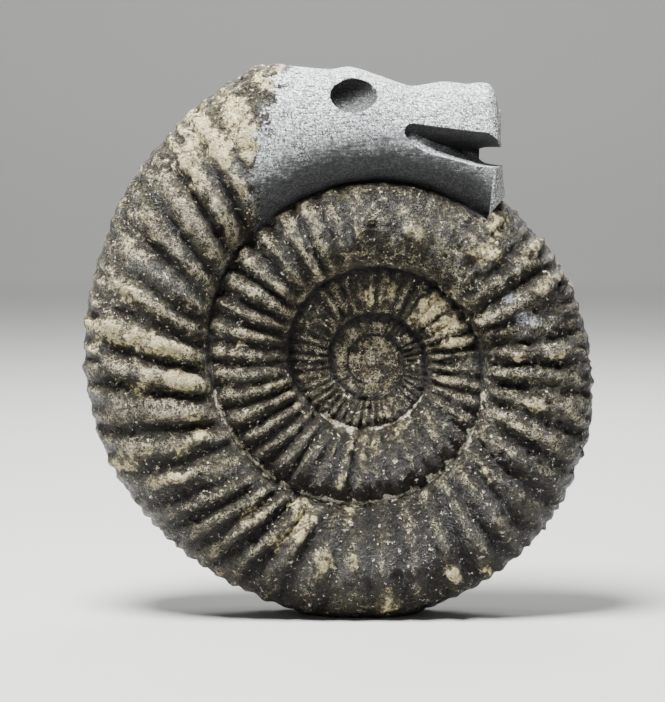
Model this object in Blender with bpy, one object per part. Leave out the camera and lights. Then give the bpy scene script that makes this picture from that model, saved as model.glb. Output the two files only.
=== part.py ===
"""Snakestone: a coiled, ribbed ammonite fossil with a snake's head carved on its mouth end.

The whole thing is one stone. Two flat directions describe it: u runs to the right and v runs up
across the face of the coil, and w comes out of the face towards the viewer. Places along the coil
are angles in degrees counted back from the head: 90 is straight above the middle, 180 is to its
left, and each further 360 is one whorl deeper in.
"""
import math

import bmesh
import bpy

# Driving sizes, in millimetres and degrees.
MM = 0.001
TURN = 360.0
SNOUT = 52.0          # where the head ends, on the whorl under it
NECK = 120.0          # where the carving starts
CORE = 1340.0         # where the innermost whorl is lost in its plug
SNOUT_LEAN = 11.5     # how far the top of the snout reaches past its foot
SNOUT_BULGE = 1.1     # how far the middle of the snout's cut face stands out at the lower jaw
COVER = 0.89          # share of a whorl's radius that the next whorl leaves open
OVERLAP = 0.06        # share of a whorl's height that is sunk on the one below
BREADTH = 0.345       # half-thickness of a whorl against its radius and height
THICKEST = 9.0        # half-thickness of the last whorl at the neck
FULL_END = 0.12       # how much fuller the far end of the last whorl is than that share
SNOUT_HALF = 7.3      # half-thickness of the carved snout
SQUARENESS = 0.9      # under 1 fills out a whorl's section
SEAM_SINK = 0.35      # depth of the crease where two whorls meet
SEAM_REACH = math.radians(26)      # how far round the section that crease draws the sides in
RIB_HEIGHT = 0.058    # rib height against the whorl's half-thickness
SPLIT_RIB = 0.55      # height of the split ribs over the back of the whorl against the single ones
RIB_LEAN = 9.0        # how far the ribs of the last whorl's left half lean towards the head
LEAN_AT_SEAM = 0.45   # share of that lean that lies on the seam's side of a rib's own angle
LEANING = (115.0, 140.0, 235.0, 275.0)      # where the lean starts, is full, eases off and ends
FOOT_DEPTH = 34.3     # how far under the middle the small flat foot is ground
AXIS_X = 4.65         # place of the coil's middle, so that the stone is centred on the frame

# Radius of the coil's outer edge by angle: the head's profile first, then the free whorl.
RIM = (
    (63.5, 38.1), (65.4, 39.8), (67.4, 40.7), (71.5, 39.6), (76.3, 38.9), (81.1, 37.7),
    (84.2, 37.8), (89.4, 38.8), (94.3, 39.9), (98.2, 39.9), (103.9, 41.0), (108.3, 42.3),
    (112.0, 42.7), (118.0, 42.3), (128.0, 41.3), (142.0, 40.7), (160.0, 39.4), (180.0, 38.9),
    (200.0, 38.0), (225.0, 36.3), (245.0, 35.4), (260.0, 35.4), (277.0, 34.8), (290.0, 33.8),
    (310.0, 32.8), (340.0, 30.9), (370.0, 29.1), (412.0, 27.7), (450.0, 27.2),
)

# Radius of the seam between two whorls, one value for each eighth of a turn from angle 405.
SEAM_START = 405.0
SEAM = (
    24.7, 24.5, 23.6, 21.9, 20.4, 18.6, 16.7, 14.7, 13.6, 12.9, 12.4, 11.1, 9.7, 8.8, 8.2,
    7.4, 6.8, 6.6, 6.3, 5.7, 5.3, 5.0, 4.6, 4.2, 3.9, 3.6, 3.4, 3.2, 3.0, 2.8, 2.6,
)

# Count of ribs passed by angle, where a whole number is a groove and a half is a crest.
RIBS = (
    (122.5, 0.0), (146.5, 3.0), (170.0, 6.0), (188.0, 8.0), (217.0, 11.0), (236.5, 14.0),
    (250.7, 16.0), (278.0, 19.0), (296.0, 21.0), (322.5, 24.0), (353.0, 27.0), (378.0, 30.0),
    (399.0, 32.0), (472.5, 40.5), (595.6, 54.5), (661.6, 61.5), (717.6, 67.5), (844.8, 82.5),
    (895.0, 88.5), (943.0, 94.5), (1700.0, 189.0),
)

# Stretches where the ribs are worn: start, full, easing off, end, and the share that is lost.
WORN = ((250, 262, 285, 300, 0.35), (425, 440, 458, 470, 0.7), (1050, 1250, 2000, 2001, 0.75))
SHOULDER = (0.62, 0.82)            # share of the way to the middle of the back where ribs split

# How finely the stone is faceted: steps in a turn, and rows across each whorl's flank and back.
STEPS = 156
FLANK_ROWS = ((SNOUT, 5), (SNOUT + TURN, 3), (SNOUT + 2 * TURN, 2))
BACK_ROWS = 6
SPARSE_FROM = SNOUT + 3 * TURN     # deeper than this, every second step is enough
MOST_TURN = 0.95                   # sine of the furthest turn round a section that is drawn

# The carved eye sockets and mouth: places on the face and sizes.
EYE_PLACE = (-2.45, 36.1)
EYE_RADII = (3.25, 2.75, 2.7)      # along the head, across it and into it
EYE_TILT = 14.0                    # turn of the socket on the face
EYE_ROLL = 32.0                    # how far the socket looks up, square to the round brow
EYE_LEVEL = 7.3
HEAD_SKIN = 7.2                    # level of the head's side along the mouth
MOUTH_AT_SKIN = (
    (5.4, 32.2), (10.0, 31.7), (15.2, 30.95), (16.5, 30.0), (18.6, 29.2),
    (18.6, 26.15), (14.1, 26.4), (10.15, 27.4), (6.5, 28.65), (4.75, 29.9), (4.33, 31.1),
)
MOUTH_AT_MIDDLE = (
    (14.4, 28.7), (14.9, 28.75), (15.5, 28.8), (16.5, 28.95), (18.6, 29.15),
    (18.6, 26.4), (16.5, 26.6), (15.5, 26.9), (14.9, 27.15), (14.5, 27.5), (14.3, 28.1),
)

STONE_COLOUR = (0.11, 0.095, 0.075, 1.0)


def between(pairs, x):
    """Value at x on straight lines through the pairs, carried on past both ends."""
    k = 1
    while k < len(pairs) - 1 and x > pairs[k][0]:
        k += 1
    (x0, y0), (x1, y1) = pairs[k - 1], pairs[k]
    return y0 + (y1 - y0) * (x - x0) / (x1 - x0)


def curve_through(pairs, x):
    """Value at x on a smooth curve through the pairs."""
    last = len(pairs) - 1
    k = 1
    while k < last and x > pairs[k][0]:
        k += 1
    x0, y0 = pairs[k - 1]
    x1, y1 = pairs[k]
    before = pairs[max(k - 2, 0)]
    after = pairs[min(k + 1, last)]
    span = x1 - x0
    slope0 = (y1 - before[1]) / (x1 - before[0]) * span
    slope1 = (after[1] - y0) / (after[0] - x0) * span
    f = min(max((x - x0) / span, 0.0), 1.0)
    return (
        y0 * (2 * f**3 - 3 * f**2 + 1)
        + slope0 * (f**3 - 2 * f**2 + f)
        + y1 * (3 * f**2 - 2 * f**3)
        + slope1 * (f**3 - f**2)
    )


def ease(low, high, x):
    """Smooth step from 0 at low to 1 at high."""
    f = min(max((x - low) / (high - low), 0.0), 1.0)
    return f * f * (3 - 2 * f)


def over_span(start, full, easing, end, t):
    """1 inside a stretch of the coil and 0 outside it, with soft ends."""
    return ease(start, full, t) * (1 - ease(easing, end, t))


SEAM_PAIRS = tuple((SEAM_START + TURN / 8 * k, radius) for k, radius in enumerate(SEAM))


def seam_radius(t):
    return curve_through(SEAM_PAIRS, t)


def foot_angle(t):
    """Angle where the slice at t starts on the seam: a slice leans with the ribs it follows."""
    return t + LEAN_AT_SEAM * RIB_LEAN * over_span(*LEANING, t)


def rim_angle(t):
    """Angle where the slice at t ends; those of the head lean forwards to its snout."""
    if t > SNOUT + TURN:
        return foot_angle(t - TURN) + TURN
    head = SNOUT_LEAN * max((NECK - t) / (NECK - SNOUT), 0.0)
    return t + head - (1 - LEAN_AT_SEAM) * RIB_LEAN * over_span(*LEANING, t)


def inner_radius(t):
    """Radius of the seam at which the slice at t starts."""
    return seam_radius(foot_angle(t) + TURN)


def rim_radius(t):
    """Outer radius of the whorl at t, the hidden part under the next whorl included."""
    free = curve_through(RIM, min(rim_angle(t), RIM[-1][0]))
    hidden = inner_radius(t - TURN) / COVER if t > SNOUT + TURN - 12 else free
    return free + (hidden - free) * ease(SNOUT + TURN - 12, SNOUT + TURN + 25, t)


def half_breadth(t):
    """Half-thickness of the whorl at t."""
    outer = rim_radius(max(t, NECK))
    height = outer - inner_radius(max(t, NECK))
    fuller = 1 + FULL_END * ease(200, 390, t) * (1 - ease(430, 600, t))
    coil = min(BREADTH * math.sqrt(outer * height) * fuller, THICKEST)
    return SNOUT_HALF + (coil - SNOUT_HALF) * ease(SNOUT - 15, NECK, t)


def section(t):
    """Middle radius, half-height and half-breadth of the whorl's rounded section at t."""
    inner = inner_radius(t)
    outer = rim_radius(t)
    half_height = (outer - inner) * (1 + OVERLAP) / 2
    return outer - half_height, half_height, half_breadth(t)


INNER_TURN = math.asin(-(1 - OVERLAP) / (1 + OVERLAP))


def seam_turn(t):
    """Turn round the section, in radians, at which the next whorl covers this one."""
    middle, half_height, _ = section(t)
    covered = inner_radius(t - TURN) if t >= SNOUT + TURN else COVER * rim_radius(t)
    return math.asin(min((covered - middle) / half_height, MOST_TURN))


def plain_level(t, turn):
    """Height of the bare section over the stone's middle plane."""
    return section(t)[2] * max(math.cos(turn), 0.0) ** SQUARENESS


def rib_relief(t, turn):
    """Height of the ribs at a place: single on the flank, split in two over the back."""
    flank = (turn - INNER_TURN) / (math.pi / 2 - INNER_TURN)
    bend = min(flank, 1.0) * (rim_angle(t) - t) if t > SNOUT + TURN else 0.0
    phase = between(RIBS, t + bend)
    single = math.cos(math.tau * (phase - 0.5))
    split = -math.cos(2 * math.tau * (phase - 0.5))
    shoulder = ease(*SHOULDER, flank)
    shape = single * (1 - shoulder) + SPLIT_RIB * split * shoulder
    strength = ease(0.02, 0.2, flank)
    strength *= ease(NECK - 8, NECK + 12, t)
    for *span, lost in WORN:
        strength *= 1 - lost * over_span(*span, t)
    strength *= 1 + 0.18 * math.sin(7.3 * round(phase - 0.5) + 0.4)
    return RIB_HEIGHT * section(t)[2] * shape * strength


def seam_level(t):
    """Height of the crease between the whorl at t and the next one over it."""
    older = plain_level(t, seam_turn(t))
    younger = plain_level(t - TURN, INNER_TURN)
    return (older + younger) / 2 - SEAM_SINK * min(section(t)[2] / 5, 1.0)


def coil_point(t, turn):
    """Share of the way from the seam to the outer edge, and height, for a place on the coil."""
    middle, half_height, half = section(t)
    radius = middle + half_height * math.sin(turn)
    level = plain_level(t, turn)
    near_inner = max(1 - (turn - INNER_TURN) / SEAM_REACH, 0.0) ** 2
    level += near_inner * (seam_level(t + TURN) - plain_level(t, INNER_TURN))
    if t >= SNOUT + TURN:
        near_outer = max(1 - abs(seam_turn(t) - turn) / SEAM_REACH, 0.0) ** 2
        level += near_outer * (seam_level(t) - plain_level(t, seam_turn(t)))
    across = (math.sin(turn) / half_height, math.cos(turn) / half)
    size = math.hypot(*across)
    relief = rib_relief(t, turn)
    radius += relief * across[0] / size
    level += relief * across[1] / size
    inner = inner_radius(t)
    return (radius - inner) / (rim_radius(t) - inner), level


def place(t, turn, side):
    """Point of the stone, in metres, for a place on the coil; side is 1 in front, -1 behind."""
    share, level = coil_point(t, turn)
    foot = math.radians(foot_angle(t))
    head = math.radians(rim_angle(t))
    inner = inner_radius(t)
    outer = rim_radius(t)
    u = inner * math.cos(foot) * (1 - share) + outer * math.cos(head) * share
    v = inner * math.sin(foot) * (1 - share) + outer * math.sin(head) * share
    return stand(u, v, level * side)


def stand(u, v, w):
    """A point of the face put in the frame: the coil stands up and looks along -Y."""
    return ((u + AXIS_X) * MM, -w * MM, (v + FOOT_DEPTH) * MM)


def flank_rows(t):
    rows = FLANK_ROWS[0][1]
    for start, count in FLANK_ROWS:
        if t > start + 0.01:
            rows = count
    return rows


def slice_angles():
    """Angles of the slices that the coil is built from, head first."""
    step = TURN / STEPS
    angles = [SNOUT + step * k for k in range(3 * STEPS + 1)]
    k = 2
    while SPARSE_FROM + step * k < CORE:
        angles.append(SPARSE_FROM + step * k)
        k += 2
    return angles


def join_rows(shell, first, second, between_ends=()):
    """Faces between two rows of points; between_ends are extra points between the two last ones."""
    a = b = 0
    while a < len(first) - 1 or b < len(second) - 1:
        ahead_a = (a + 1) / (len(first) - 1) if a < len(first) - 1 else 2.0
        ahead_b = (b + 1) / (len(second) - 1) if b < len(second) - 1 else 2.0
        corner = [first[a], second[b]]
        if abs(ahead_a - ahead_b) < 0.01:
            a, b = a + 1, b + 1
            corner += [second[b], first[a]]
        elif ahead_a < ahead_b:
            a += 1
            corner += [first[a]]
        else:
            b += 1
            corner += [second[b]]
        if a == len(first) - 1 and b == len(second) - 1:
            extra = list(between_ends)
            spot = corner.index(second[b]) + 1
            corner = corner[:spot] + extra + corner[spot:]
        shell.faces.new(list(dict.fromkeys(corner)))


def close_core(shell, rim_loop, side):
    """Plug of worn stone that fills the coil's middle, drawn in to one point."""
    middle = shell.verts.new(stand(0.0, 0.2, 0.9 * side))
    for k in range(len(rim_loop)):
        shell.faces.new([rim_loop[k], rim_loop[(k + 1) % len(rim_loop)], middle])


def close_snout(shell, saddle, head):
    """Cut face of the snout, from the saddle on the whorl below up to the top of the head."""
    half = len(head) // 2
    steps = len(saddle) - 1
    rungs = [saddle]
    for j in range(1, half):
        left, right = head[j].co, head[-1 - j].co
        rung = [head[j]]
        for k in range(1, steps):
            share = k / steps
            base = saddle[0].co.lerp(saddle[-1].co, share)
            rise = (saddle[k].co - base) * (1 - j / half)
            point = left.lerp(right, share) + rise
            bulge = SNOUT_BULGE * (1 - 0.8 * j / half) * math.sin(math.pi * min(3 * j / half, 0.5))
            point.x += bulge * MM * math.sin(math.pi * share)
            rung.append(shell.verts.new(point))
        rung.append(head[-1 - j])
        rungs.append(rung)
    for low, high in zip(rungs, rungs[1:]):
        for k in range(steps):
            corner = [low[k], low[k + 1], high[k + 1], high[k]]
            shell.faces.new(list(dict.fromkeys(corner)))
    for k in range(steps):
        shell.faces.new([rungs[-1][k], rungs[-1][k + 1], head[half]])


def build_coil():
    """The stone before its carving: one closed surface wound along the coil."""
    shell = bmesh.new()
    angles = slice_angles()
    column = {round(t, 3): k for k, t in enumerate(angles)}
    sides = {1: [], -1: []}
    backs = []
    for k, t in enumerate(angles):
        rows = flank_rows(t)
        outer_turn = seam_turn(t)
        turns = [INNER_TURN + (outer_turn - INNER_TURN) * j / rows for j in range(rows + 1)]
        free = t <= SNOUT + TURN - 0.01
        for side in sides:
            own = turns if free else turns[:-1]
            line = [shell.verts.new(place(t, turn, side)) for turn in own]
            if not free:
                line.append(sides[side][column[round(t - TURN, 3)]][0])
            sides[side].append(line)
        if t <= SNOUT + TURN + 0.01:
            over = [sides[1][k][-1]]
            for j in range(1, BACK_ROWS):
                share = 2 * j / BACK_ROWS
                side = 1 if share <= 1 else -1
                share = share if share <= 1 else 2 - share
                turn = outer_turn + (math.pi / 2 - outer_turn) * share
                over.append(shell.verts.new(place(t, turn, side)))
            over.append(sides[-1][k][-1])
            backs.append(over)
    for side, lines in sides.items():
        for k in range(len(lines) - 1):
            start, end = (column.get(round(angles[k + i] - TURN, 3)) for i in (0, 1))
            skipped = [lines[j][0] for j in range(end - 1, start, -1)] if start is not None else []
            join_rows(shell, lines[k], lines[k + 1], skipped)
        inside = column[round(angles[-1] - TURN, 3)]
        loop = [line[0] for line in lines[inside:]] + lines[-1][1:-1]
        close_core(shell, loop, side)
    for over, beyond in zip(backs, backs[1:]):
        join_rows(shell, over, beyond)
    head = sides[1][0] + backs[0][1:-1] + sides[-1][0][::-1]
    close_snout(shell, backs[-1], head)
    bmesh.ops.recalc_face_normals(shell, faces=shell.faces)
    mesh = bpy.data.meshes.new("snakestone")
    shell.to_mesh(mesh)
    shell.free()
    return mesh


def cutter(name, mesh):
    """A shape that is cut away from the stone, kept out of the finished object."""
    tool = bpy.data.objects.new(name, mesh)
    bpy.context.collection.objects.link(tool)
    tool.hide_render = True
    tool.display_type = "WIRE"
    return tool


def cut_away(stone, tool):
    cut = stone.modifiers.new(tool.name, "BOOLEAN")
    cut.operation = "DIFFERENCE"
    cut.solver = "EXACT"
    cut.object = tool


def eye_cutter(side):
    """A tilted egg that hollows one eye socket."""
    shape = bmesh.new()
    bmesh.ops.create_uvsphere(shape, u_segments=14, v_segments=8, radius=1.0)
    tilt = math.radians(EYE_TILT)
    roll = math.radians(EYE_ROLL)
    for vert in shape.verts:
        along, up, out = (c * r for c, r in zip(vert.co, EYE_RADII))
        up, out = up * math.cos(roll) + out * math.sin(roll), out * math.cos(roll) - up * math.sin(roll)
        u = EYE_PLACE[0] + along * math.cos(tilt) - up * math.sin(tilt)
        v = EYE_PLACE[1] + along * math.sin(tilt) + up * math.cos(tilt)
        vert.co = stand(u, v, (EYE_LEVEL + out) * side)
    if side < 0:
        bmesh.ops.reverse_faces(shape, faces=shape.faces)
    mesh = bpy.data.meshes.new("eye_cut")
    shape.to_mesh(mesh)
    shape.free()
    return cutter("eye_cut_front" if side > 0 else "eye_cut_back", mesh)


def mouth_cutter():
    """Two filed V grooves, one from each side, that meet only near the tip of the snout."""
    shape = bmesh.new()
    rings = []
    for level, outline in (
        (HEAD_SKIN + 4, MOUTH_AT_SKIN),
        (HEAD_SKIN, MOUTH_AT_SKIN),
        (0.0, MOUTH_AT_MIDDLE),
        (-HEAD_SKIN, MOUTH_AT_SKIN),
        (-HEAD_SKIN - 4, MOUTH_AT_SKIN),
    ):
        rings.append([shape.verts.new(stand(u, v, level)) for u, v in outline])
    for low, high in zip(rings, rings[1:]):
        for k in range(len(low)):
            n = (k + 1) % len(low)
            shape.faces.new([low[k], low[n], high[n], high[k]])
    shape.faces.new(rings[0])
    shape.faces.new(rings[-1][::-1])
    bmesh.ops.triangulate(shape, faces=shape.faces)
    bmesh.ops.recalc_face_normals(shape, faces=shape.faces)
    mesh = bpy.data.meshes.new("mouth_cut")
    shape.to_mesh(mesh)
    shape.free()
    return cutter("mouth_cut", mesh)


def foot_cutter():
    """A block whose top grinds the small flat that the stone stands on."""
    shape = bmesh.new()
    bmesh.ops.create_cube(shape, size=1.0)
    for vert in shape.verts:
        vert.co.x *= 60 * MM
        vert.co.y *= 40 * MM
        vert.co.z = (vert.co.z - 0.5) * 10 * MM
    mesh = bpy.data.meshes.new("foot_cut")
    shape.to_mesh(mesh)
    shape.free()
    return cutter("foot_cut", mesh)


def stone_material():
    """Dark brown-grey limestone with a dull, waxy shine."""
    material = bpy.data.materials.new("fossil_limestone")
    material.use_nodes = True
    shader = material.node_tree.nodes["Principled BSDF"]
    shader.inputs["Base Color"].default_value = STONE_COLOUR
    shader.inputs["Roughness"].default_value = 0.55
    shader.inputs["Metallic"].default_value = 0.0
    return material


def build_snakestone():
    stone = bpy.data.objects.new("snakestone", build_coil())
    bpy.context.collection.objects.link(stone)
    stone.data.materials.append(stone_material())
    for tool in (eye_cutter(1), eye_cutter(-1), mouth_cutter(), foot_cutter()):
        cut_away(stone, tool)
    return stone


for old in list(bpy.data.objects):
    bpy.data.objects.remove(old, do_unlink=True)
build_snakestone()
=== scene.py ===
import math
from functools import lru_cache

import bmesh
import bpy
import numpy as np
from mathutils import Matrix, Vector, kdtree, noise


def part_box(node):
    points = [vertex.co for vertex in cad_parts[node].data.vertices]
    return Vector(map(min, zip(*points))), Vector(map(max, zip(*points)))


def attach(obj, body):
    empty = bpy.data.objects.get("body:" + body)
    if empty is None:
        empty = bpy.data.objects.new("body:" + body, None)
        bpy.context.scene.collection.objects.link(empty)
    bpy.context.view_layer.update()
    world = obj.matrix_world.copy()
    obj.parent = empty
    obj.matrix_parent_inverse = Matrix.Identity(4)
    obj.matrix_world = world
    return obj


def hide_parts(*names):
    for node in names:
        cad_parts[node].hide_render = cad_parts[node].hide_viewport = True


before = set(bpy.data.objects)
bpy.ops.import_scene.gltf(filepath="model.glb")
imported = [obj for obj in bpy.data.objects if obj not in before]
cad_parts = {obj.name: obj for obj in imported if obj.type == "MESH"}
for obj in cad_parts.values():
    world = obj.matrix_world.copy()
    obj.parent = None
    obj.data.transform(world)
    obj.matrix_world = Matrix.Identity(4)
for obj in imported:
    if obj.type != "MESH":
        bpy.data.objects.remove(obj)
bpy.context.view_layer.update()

# The stone. It is the limestone cast of a coiled shell: five whorls wound flat, each laid on the one
# before, ribbed straight across its sides and finer over its back. Nature wound it along a spiral,
# which no primitive follows, so it is wound here slice by slice, to the sizes of its plain solid.
# Along the coil a place is an angle counted back from the head: 90 is above the middle, 180 left of
# it, and each further 360 is one whorl deeper in. On its face u runs right, v up and w outwards.
MM = 0.001
TURN = 360.0
SNOUT = 52.0                        # where the head ends, on the whorl under it
NECK = 120.0                        # where the carving starts
CORE = 1340.0                       # where the innermost whorl is lost in its plug
SNOUT_LEAN = 11.5                   # how far the top of the snout reaches past its foot
SNOUT_BULGE = 1.1                   # how far the snout's cut face stands out at the lower jaw
COVER = 0.89                        # share of a whorl's radius that the next whorl leaves open
OVERLAP = 0.06                      # share of a whorl's height that is sunk on the one below
BREADTH = 0.345                     # half-thickness of a whorl against its radius and height
THICKEST = 9.0
FULL_END = 0.12                     # how much fuller the far end of the last whorl is
SNOUT_HALF = 7.3                    # half-thickness of the carved snout
SQUARENESS = 0.9                    # power of the section's cosine: below 1 it is flatter on its sides
FULLER = (200, 390, 430, 600)       # where the far end of the last whorl is fuller
GOES_UNDER = (400, 437)             # where the last whorl goes under its own head
SNOUT_FLAT = 15.0                   # the half-thickness of the snout holds from so far past its end
MOST_COVERED = 0.95                 # sine of the furthest turn at which a whorl is covered
SEAM_SINK = 0.45                    # depth of the crease where two whorls meet
FULL_SINK = 5.0                     # half-thickness of the smallest whorl that has the whole of it
UNDER_HEAD = (414, 426, 472, 492)   # where the crease is deeper, under the head
DEEPER = 1.2
ERODED = (1120, 1250)               # where the oldest whorls are worn so that the crease is lost
LOST_CREASE = 0.8
SEAM_REACH = math.radians(26)       # how far round the section that crease draws the sides in
HEAD_REACH = 0.4                    # share of that reach along the head
HEAD_TO_COIL = (NECK - 12, NECK + 8)     # where that share grows to the whole
RIB_LEAN = 9.0                      # how far the ribs of the left half lean towards the head
LEAN_AT_SEAM = 0.45                 # share of that lean that lies on the seam's side
LEANING = (115.0, 140.0, 235.0, 275.0)   # where the lean starts, is full, eases off and ends
AXIS_X = 4.65                       # place of the coil's middle in the frame
FOOT_DEPTH = 34.3                   # how far under the coil's middle the foot is ground

# Radius of the outer edge by angle: the head's profile first, then the free whorl.
RIM = (
    (63.5, 38.1), (65.4, 39.8), (67.4, 40.7), (71.5, 39.6), (76.3, 38.9), (81.1, 37.7),
    (84.2, 37.8), (89.4, 38.8), (94.3, 39.9), (98.2, 39.9), (103.9, 41.0), (108.3, 42.3),
    (112.0, 42.7), (118.0, 42.3), (128.0, 41.3), (142.0, 40.7), (160.0, 39.4), (180.0, 38.9),
    (200.0, 38.0), (225.0, 36.3), (245.0, 35.4), (260.0, 35.4), (277.0, 34.8), (290.0, 33.8),
    (310.0, 32.8), (340.0, 30.9), (370.0, 29.1), (412.0, 27.7), (450.0, 27.2),
)
# Radius of the seam between two whorls, one value for each eighth of a turn.
SEAM_START = 405.0
SEAM = (
    24.7, 24.5, 23.6, 21.9, 20.4, 18.6, 16.7, 14.7, 13.6, 12.9, 12.4, 11.1, 9.7, 8.8, 8.2,
    7.4, 6.8, 6.6, 6.3, 5.7, 5.3, 5.0, 4.6, 4.2, 3.9, 3.6, 3.4, 3.2, 3.0, 2.8, 2.6,
)
# Count of ribs passed by angle: a whole number is a groove and a half is a crest.
RIBS = (
    (122.5, 0.0), (146.5, 3.0), (170.0, 6.0), (188.0, 8.0), (217.0, 11.0), (236.5, 14.0),
    (250.7, 16.0), (278.0, 19.0), (296.0, 21.0), (322.5, 24.0), (353.0, 27.0), (378.0, 30.0),
    (399.0, 32.0), (472.5, 40.5), (595.6, 54.5), (661.6, 61.5), (717.6, 67.5), (844.8, 82.5),
    (895.0, 88.5), (943.0, 94.5), (1700.0, 189.0),
)
RIB_HEIGHT = 0.052                  # a crest's height against the whorl's half-thickness
GROOVE_DEPTH = 1.7                  # a groove's depth against a crest's height
SPLIT_RIB = 0.6                     # height of the split ribs at the shoulder
BACK_RIB = 0.5                      # share of that height left at the middle of the back
SHOULDER = (0.6, 0.82)              # share of the way to the middle of the back where ribs split
BACK = (0.78, 1.0)                  # share of that way over which they sink to their height there
GROOVE_POWER = 1.35                 # above 1 a groove is narrower than a crest
RIB_ROOT = 0.17                     # share of that way by which a rib has its whole strength
FIRST_RIB = (NECK - 8, NECK + 12)   # where the ribs rise out of the filed neck
# Ribs wander, and gnawed patches lie, by noise: degrees and counts across a lump, step from one side
# to the other, and start.
WANDER = (5.5, 2.6, 3.0, 11.0)
BITES = (11.0, 3.1, 5.0, -21.0)
BITTEN = (-0.05, 0.3)               # noise at which a patch starts to be gnawed and is wholly so
WANDER_RIBS = 0.17                  # how far a rib wanders, in ribs
WANDER_HEIGHT = 0.5                 # how much its height changes with that
RIB_UNEVEN = 0.22                   # how much ribs differ in height, by a wave
RIB_BEAT, RIB_BEAT_START = 7.3, 0.4      # radians of that wave from one rib to the next, and at first
# Stretches where the ribs are worn: start, full, easing off, end, and the share that is lost.
WORN = (
    (248, 262, 285, 300, 0.55), (335, 350, 372, 392, 0.1), (390, 404, 455, 478, 0.8),
    (590, 612, 680, 710, 0.45), (780, 800, 930, 980, 0.35), (980, 1010, 1060, 1090, 0.2),
    (1090, 1200, 2000, 2001, 0.6),
)
# Stretches where they are gnawed in patches, in the same way.
GNAWED = ((90, 115, 250, 300, 0.25), (300, 330, 440, 500, 0.5), (500, 560, 2000, 2001, 0.4))

# How finely the stone is drawn: slices in a turn, and rows across each whorl's side and back.
SLICES = 600
SIDE_ROWS = (30, 20, 12, 8)
BACK_ROWS = 18


def ease(low, high, x):
    """Smooth step from 0 at low to 1 at high."""
    f = np.clip((x - low) / (high - low), 0.0, 1.0)
    return f * f * (3 - 2 * f)


def curve_through(pairs, x):
    """Value at x on a smooth curve through the pairs."""
    last = len(pairs) - 1
    k = 1
    while k < last and x > pairs[k][0]:
        k += 1
    x0, y0 = pairs[k - 1]
    x1, y1 = pairs[k]
    before = pairs[max(k - 2, 0)]
    after = pairs[min(k + 1, last)]
    span = x1 - x0
    slope0 = (y1 - before[1]) / (x1 - before[0]) * span
    slope1 = (after[1] - y0) / (after[0] - x0) * span
    f = min(max((x - x0) / span, 0.0), 1.0)
    return (
        y0 * (2 * f**3 - 3 * f**2 + 1)
        + slope0 * (f**3 - 2 * f**2 + f)
        + y1 * (3 * f**2 - 2 * f**3)
        + slope1 * (f**3 - f**2)
    )


def over_span(start, full, easing, end, t):
    """1 inside a stretch of the coil and 0 outside it, with soft ends."""
    return ease(start, full, t) * (1 - ease(easing, end, t))


SEAM_PAIRS = tuple((SEAM_START + TURN / 8 * k, radius) for k, radius in enumerate(SEAM))
RIB_ANGLES, RIB_COUNTS = np.array(RIBS).T


def foot_angle(t):
    """Angle where the slice at t starts on the seam: a slice leans with the ribs it follows."""
    return t + LEAN_AT_SEAM * RIB_LEAN * over_span(*LEANING, t)


def rim_angle(t):
    """Angle where the slice at t ends; those of the head lean forwards to its snout."""
    if t > SNOUT + TURN:
        return foot_angle(t - TURN) + TURN
    head = SNOUT_LEAN * max((NECK - t) / (NECK - SNOUT), 0.0)
    return t + head - (1 - LEAN_AT_SEAM) * RIB_LEAN * over_span(*LEANING, t)


@lru_cache(None)
def inner_radius(t):
    """Radius of the seam at which the slice at t starts."""
    return curve_through(SEAM_PAIRS, foot_angle(t) + TURN)


@lru_cache(None)
def rim_radius(t):
    """Outer radius of the whorl at t, the part hidden under the next whorl included."""
    free = curve_through(RIM, min(rim_angle(t), RIM[-1][0]))
    hidden = inner_radius(t - TURN) / COVER if t > GOES_UNDER[0] else free
    return free + (hidden - free) * ease(*GOES_UNDER, t)


@lru_cache(None)
def half_breadth(t):
    """Half-thickness of the whorl at t."""
    outer = rim_radius(max(t, NECK))
    height = outer - inner_radius(max(t, NECK))
    fuller = 1 + FULL_END * over_span(*FULLER, t)
    coil = min(BREADTH * math.sqrt(outer * height) * fuller, THICKEST)
    return SNOUT_HALF + (coil - SNOUT_HALF) * ease(SNOUT - SNOUT_FLAT, NECK, t)


@lru_cache(None)
def section(t):
    """Middle radius, half-height and half-breadth of the whorl's rounded section at t."""
    half_height = (rim_radius(t) - inner_radius(t)) * (1 + OVERLAP) / 2
    return rim_radius(t) - half_height, half_height, half_breadth(t)


INNER_TURN = math.asin(-(1 - OVERLAP) / (1 + OVERLAP))


@lru_cache(None)
def seam_turn(t):
    """Turn round the section at which the next whorl covers this one."""
    middle, half_height, _ = section(t)
    covered = inner_radius(t - TURN) if t >= SNOUT + TURN else COVER * rim_radius(t)
    return math.asin(min((covered - middle) / half_height, MOST_COVERED))


def plain_level(t, turn):
    """Height of the bare section over the stone's middle plane."""
    return section(t)[2] * np.maximum(np.cos(turn), 0.0) ** SQUARENESS


@lru_cache(None)
def seam_level(t):
    """Height of the crease between the whorl at t and the next one over it."""
    older = plain_level(t, seam_turn(t))
    younger = plain_level(t - TURN, INNER_TURN)
    sink = SEAM_SINK * min(section(t)[2] / FULL_SINK, 1.0)
    sink *= 1 + DEEPER * over_span(*UNDER_HEAD, t)
    sink *= 1 - LOST_CREASE * ease(*ERODED, t)
    return (older + younger) / 2 - sink


def noise_on(t, flank, side, lump, across, step, start):
    """Smooth noise at places of a slice, given as shares of the way to the middle of the back."""
    return np.array([noise.noise(Vector((t / lump, f * across, step * side + start))) for f in flank])


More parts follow.
